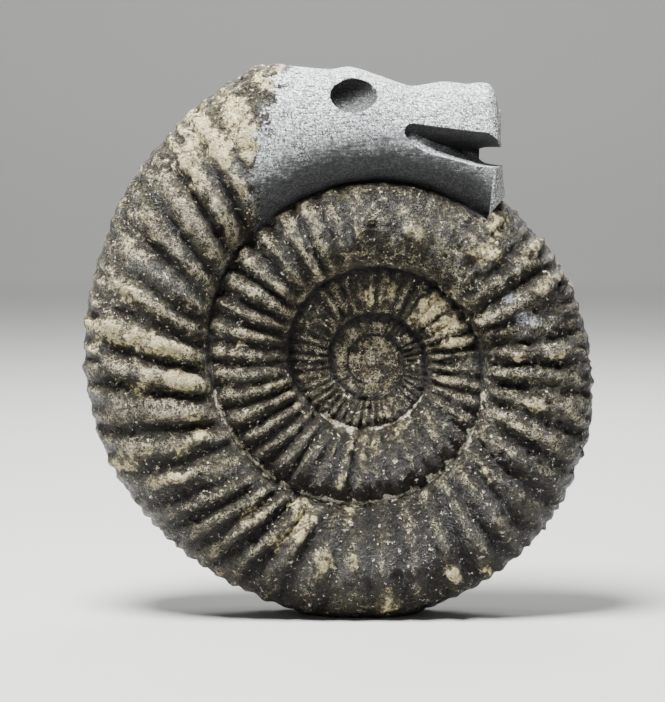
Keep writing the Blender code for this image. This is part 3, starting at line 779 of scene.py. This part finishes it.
# The coats from the stone outwards: name, colour, how far it hides what is under it, where its
# pattern starts and is full, what the pattern is made of, and the coat that it lies within. Of a mix
# node inputs 6 and 7 and output 2 are colours, and inputs 2 and 3 and output 0 are numbers.
COATS = (
    # the shell's own skin, olive to brown, rubbed light on its crests and darker in its grooves
    ("skin", "#2b261c", 1.0, -1.0, -0.5, {"coarse": 1.0}, None),
    ("olive", "#454130", 0.9, -0.05, 0.10, {"coarse": 1.0, "medium": 0.6, "fine": 0.3}, None),
    ("brown", "#2e2118", 0.7, 0.2, 0.6, {"whorl": 0.12, "medium": 2.0}, None),
    ("worn", "#857a5e", 0.8, 0.7, 1.14, {"rubbed": 1.0, "medium": 1.0, "fine": 1.4, "speck": 2.0}, None),
    # darker in the grooves and wherever the crests are less rubbed
    ("groove_dark", "#110d08", 0.92, -0.42, -0.05, {"rubbed": -1.0, "medium": 1.0, "grit": 1.0}, None),
    ("slate", "#4b4d45", 0.85, 0.45, 0.75, {"slate": 1.0, "medium": 0.8}, None),
    ("blue", "#868b92", 0.9, 1.0, 1.3, {"slate": 1.0, "fine": 1.0}, None),
    ("pores", "#070503", 0.92, 0.0, 0.14, {"speck": -1.5, "fine": -0.9}, None),
    # mud crust, thin and broken where it was brushed, pale and crumbly where it is thick
    ("thin crust", "#766c50", 0.7, 0.35, 0.85, {"crust": 1.0, "medium": 2.0, "grit": 1.8, "fine": 1.2},
     None),
    ("crust", "#b8aa7a", 0.95, 0.7, 0.95, {"crust": 1.0, "medium": 2.2, "grit": 2.4, "fine": 1.2}, None),
    ("crumbs", "#ede1b6", 0.9, 0.02, 0.16, {"fine": 1.0, "speck": 1.0}, "crust"),
    ("cracks", "#241b0e", 0.9, 0.05, 0.18, {"fine": -1.0, "grit": -0.6, "speck": -0.5}, "thin crust"),
    # threads and flecks of lime
    ("threads", "#d6cdae", 0.8, 0.15, 0.45, {"thread": 1.2, "rubbed": 0.55, "medium": 1.8}, None),
    ("specks", "#b9ae8a", 0.6, 0.86, 1.06, {"rubbed": 0.6, "fine": 1.2, "speck": 2.8, "medium": 0.8}, None),
    ("flecks", "#e6e1d0", 0.9, 0.35, 0.39, {"fine": 1.0, "speck": 0.4, "medium": 0.9}, None),
    # painted shadow on an older whorl along the edge of the next one
    ("seam_shadow", "#1d130c", 0.85, 0.35, 0.8, {"seam_shadow": 1.0, "medium": 0.8, "fine": 0.8, "speck": -0.8}, None),
    ("chalk", "#a89a80", 0.95, 0.35, 0.6, {"chalk": 1.0, "grit": 2.0, "fine": 2.4}, None),
    ("lime", "#efe9da", 0.95, -0.06, 0.1, {"fine": 1.0, "speck": 1.2, "medium": 0.8}, "chalk"),
    # painted shade in the creases of the seams, where no chalk lies
    ("crease", "#0a0806", 0.92, -0.75, -0.25, {"gap": -1.0, "chalk": -1.0, "fine": 0.8}, None),
    # the bare head: clean grey stone, rubbed white on top, scratched, darker low on its sides, partly as
    # darker rasped stone and partly as painted shade
    ("bare", "#76797b", 1.0, 0.42, 0.58, {"head": 1.0, "medium": 0.9, "grit": 0.9, "fine": 0.5}, None),
    ("pale", "#b4b7b8", 0.9, -0.08, 0.14, {"medium": 0.5, "grit": 0.5, "fine": 0.8, "speck": 1.0}, "bare"),
    ("white", "#f4f6f7", 0.85, 0.0, 0.22, {"speck": 1.6, "fine": 0.8}, "bare"),
    ("scratches", "#2c2e30", 0.9, 0.04, 0.2, {"scratch": -1.2, "speck": -1.2}, "bare"),
    # the head darker near its seam: partly darker rasped stone, partly painted shade of its lower side
    ("low", "#18191a", 0.94, -8.2, -4.2, {"gap": -1.0, "medium": 6.0, "scratch": 8.0, "speck": 8.0}, "bare"),
    # painted shade in the cuts, near black
    ("cut", "#0b0b0b", 0.96, 0.1, 0.8, {"cut": 1.0, "fine": 0.4}, "bare"),
)
stone_colour = colour(COATS[0][1])
amount = {}
for name, hex_value, cover, start, full, made_of, within in COATS:
    pattern = 0.0
    for part, weight in made_of.items():
        pattern = add_node(
            tree, "ShaderNodeMath", {0: source[part], 1: weight, 2: pattern}, operation="MULTIPLY_ADD",
        )
    amount[name] = add_node(
        tree, "ShaderNodeMapRange", {"Value": pattern, "From Min": start, "From Max": full, "To Max": cover},
        interpolation_type="SMOOTHSTEP",
    )
    if within:
        amount[name] = add_node(
            tree, "ShaderNodeMath", {0: amount[name], 1: amount[within]}, operation="MULTIPLY",
        )
    stone_colour = add_node(
        tree, "ShaderNodeMix", {0: amount[name], 6: stone_colour, 7: colour(hex_value)}, 2, data_type="RGBA",
    )
tree.links.new(stone_colour, shader.inputs["Base Color"])

# The skin has the waxy shine, and the crust and the filed head are matt.
SHINE = (0.36, 0.85)                # roughness of the skin and of the crust
SHINE_GRAIN = 0.5                   # how much the fine grain breaks it up
dull = add_node(
    tree, "ShaderNodeMath", {0: amount["thin crust"], 1: amount["bare"]}, operation="MAXIMUM",
)
dull = add_node(
    tree, "ShaderNodeMath", {0: source["fine"], 1: SHINE_GRAIN, 2: dull}, operation="MULTIPLY_ADD",
)
roughness = add_node(
    tree, "ShaderNodeMapRange", {"Value": dull, "To Min": SHINE[0], "To Max": SHINE[1]},
)
tree.links.new(roughness, shader.inputs["Roughness"])

# Grain too fine for the mesh: lumps on the shell, the file's scratches on the head.
BUMP = 0.5 * MM                     # height of a lump for which its pattern rises by 1
height = {}
for ground, lumps_of in (
    ("shell", {"medium": 1.0, "grit": 1.0, "fine": 0.9, "speck": 0.7}),
    ("filed", {"scratch": 0.5, "fine": 0.35, "speck": 0.25}),
):
    pattern = 0.0
    for part, weight in lumps_of.items():
        pattern = add_node(
            tree, "ShaderNodeMath", {0: source[part], 1: weight, 2: pattern}, operation="MULTIPLY_ADD",
        )
    height[ground] = pattern
thick = height["shell"]
for name, weight in (("crust", 0.35), ("pores", -0.25), ("cracks", -0.2)):
    thick = add_node(
        tree, "ShaderNodeMath", {0: amount[name], 1: weight, 2: thick}, operation="MULTIPLY_ADD",
    )
relief_height = add_node(
    tree, "ShaderNodeMix", {0: amount["bare"], 2: thick, 3: height["filed"]}, data_type="FLOAT",
)
bump = add_node(tree, "ShaderNodeBump", {"Height": relief_height, "Strength": 1.0, "Distance": BUMP})
tree.links.new(bump, shader.inputs["Normal"])
stone.data.materials.clear()
stone.data.materials.append(limestone)

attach(stone, "root")
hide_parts("snakestone")

# The setting: a pale paper sweep under and behind the stone, one soft lamp above and a little to the
# left, as in the photograph, a weak one in front that opens the shadows, one behind so that the far
# face is not dark, and one that lights the paper at the back.
PAPER = "#bdbdbb"
PAPER_ROUGHNESS = 0.9
REACH = 2.4                         # how far the paper reaches to the sides and to the front
SWEEP_FROM = 0.8                    # how far behind the stone it is laid before it rises
# Its rise behind the stone, row by row; the first is level, so that the floor stays flat.
SWEEP = ((0, 0.05, 0), (0, 0.15, 0.04), (0, 0.10, 0.12), (0, 0.02, 0.20), (0, 0, 0.8))
SWEEP_SPLITS = 3                    # how many times its faces are split to bend it smoothly
bpy.ops.object.select_all(action="DESELECT")
bpy.ops.mesh.primitive_plane_add(size=2 * REACH, location=(0, 0, 0))
floor = bpy.context.object
floor.name = "floor"
for vert in floor.data.vertices:
    vert.co.y = min(vert.co.y, SWEEP_FROM)
bpy.ops.object.mode_set(mode="EDIT")
bpy.ops.mesh.select_all(action="DESELECT")
bpy.ops.object.mode_set(mode="OBJECT")
for edge in floor.data.edges:
    edge.select = all(floor.data.vertices[i].co.y > 0 for i in edge.vertices)
bpy.ops.object.mode_set(mode="EDIT")
for rise in SWEEP:
    bpy.ops.mesh.extrude_region_move(TRANSFORM_OT_translate={"value": rise})
bpy.ops.object.mode_set(mode="OBJECT")
bend = floor.modifiers.new("bend", "SUBSURF")
bend.levels = bend.render_levels = SWEEP_SPLITS
bpy.ops.object.modifier_apply(modifier=bend.name)
bpy.ops.object.shade_smooth()
paper = bpy.data.materials.new("studio_paper")
paper.use_nodes = True
paper.node_tree.nodes["Principled BSDF"].inputs["Base Color"].default_value = colour(PAPER)
paper.node_tree.nodes["Principled BSDF"].inputs["Roughness"].default_value = PAPER_ROUGHNESS
floor.data.materials.append(paper)

# Each lamp's name, place, diameter in metres, power in watts and what it is aimed at.
ON_STONE, ON_PAPER = (0, 0, 0.037), (0, 0.95, 0.15)
LAMPS = (
    ("top_lamp", (-0.055, -0.075, 0.29), 0.12, 4.3, ON_STONE),
    ("front_lamp", (0.10, -0.50, 0.20), 0.30, 0.12, ON_STONE),
    ("back_lamp", (0.06, 0.30, 0.34), 0.20, 1.5, ON_STONE),
    ("paper_lamp", (0, 0.15, 0.45), 0.30, 6.0, ON_PAPER),
)
ROOM_LIGHT = 0.08
for name, spot, size, power, target in LAMPS:
    lamp = bpy.data.lights.new(name, "AREA")
    lamp.shape = "DISK"
    lamp.size = size
    lamp.energy = power
    holder = bpy.data.objects.new(name, lamp)
    bpy.context.collection.objects.link(holder)
    holder.location = spot
    holder.rotation_mode = "QUATERNION"
    holder.rotation_quaternion = (Vector(target) - holder.location).to_track_quat("-Z", "Y")
world = bpy.data.worlds.new("studio")
world.use_nodes = True
world.node_tree.nodes["Background"].inputs["Color"].default_value = (1, 1, 1, 1)
world.node_tree.nodes["Background"].inputs["Strength"].default_value = ROOM_LIGHT
bpy.context.scene.world = world

# The camera looks straight at the face of the coil from a little above, as the photograph does. A
# point of the picture, in pixels of 665 by 702, is set on the middle of the coil.
PICTURE = (665, 702)
COIL_MIDDLE = (372, 362)
MM_PER_PIXEL = 0.1354
LENS = 150.0
SENSOR = 36.0
ELEVATION = math.radians(4)
NEAR_CLIP = 0.01
camera = bpy.data.objects.new("camera", bpy.data.cameras.new("camera"))
bpy.context.collection.objects.link(camera)
camera.data.lens = LENS
camera.data.sensor_width = SENSOR
aim_u = (PICTURE[0] / 2 - COIL_MIDDLE[0]) * MM_PER_PIXEL
aim_v = (COIL_MIDDLE[1] - PICTURE[1] / 2) * MM_PER_PIXEL
aim = Vector(stand(aim_u, aim_v, 0.0))
distance = max(PICTURE) * MM_PER_PIXEL * MM * LENS / SENSOR
camera.location = aim + Vector((0, -math.cos(ELEVATION), math.sin(ELEVATION))) * distance
camera.rotation_mode = "QUATERNION"
camera.rotation_quaternion = (aim - camera.location).to_track_quat("-Z", "Y")
camera.data.clip_start = NEAR_CLIP
bpy.context.scene.camera = camera
